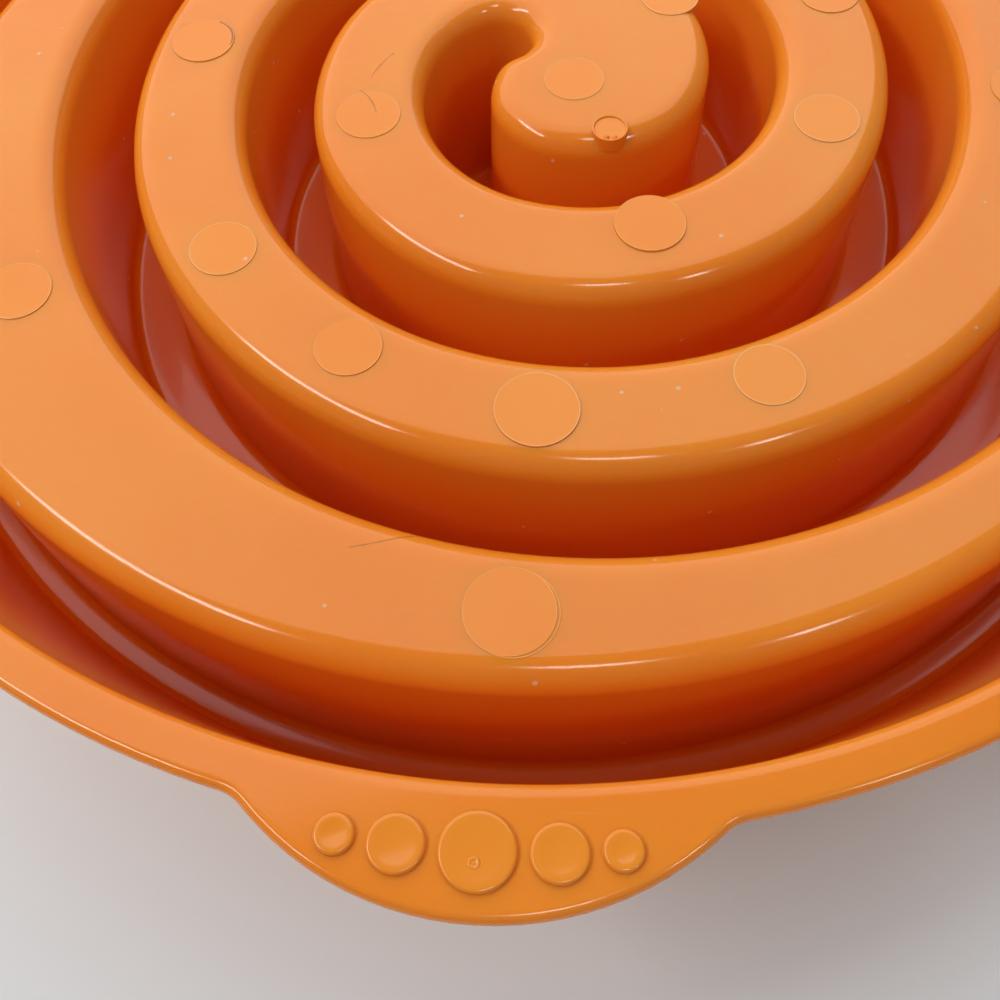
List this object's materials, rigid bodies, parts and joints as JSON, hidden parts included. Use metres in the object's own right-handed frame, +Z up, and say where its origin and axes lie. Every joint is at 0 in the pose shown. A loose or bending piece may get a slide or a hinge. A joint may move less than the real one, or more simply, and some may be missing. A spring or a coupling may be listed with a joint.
{
  "type": "slow feeder bowl",
  "caption": "Round orange dog bowl with a raised ridge that leaves a spiral food channel, two carrying tabs on its flange and rubber feet underneath.",
  "frame": {"origin": "on the table, under the middle of the bowl's round opening", "axes": "+Z up out of the bowl; the two tabs point along -Y and +Y, and -Y is the side nearest to the picture's camera"},
  "size_m": [0.286, 0.306, 0.0578],
  "materials": {
    "orange_plastic": "semi-gloss injection moulded polypropylene with fine wear",
    "rubber": "matt moulded rubber"
  },
  "bodies": {
    "root": {"bowl_shell": "orange_plastic", "foot_1": "rubber", "foot_2": "rubber", "foot_3": "rubber", "foot_4": "rubber", "foot_5": "rubber", "foot_6": "rubber", "foot_7": "rubber", "foot_8": "rubber"}
  },
  "joints": []
}
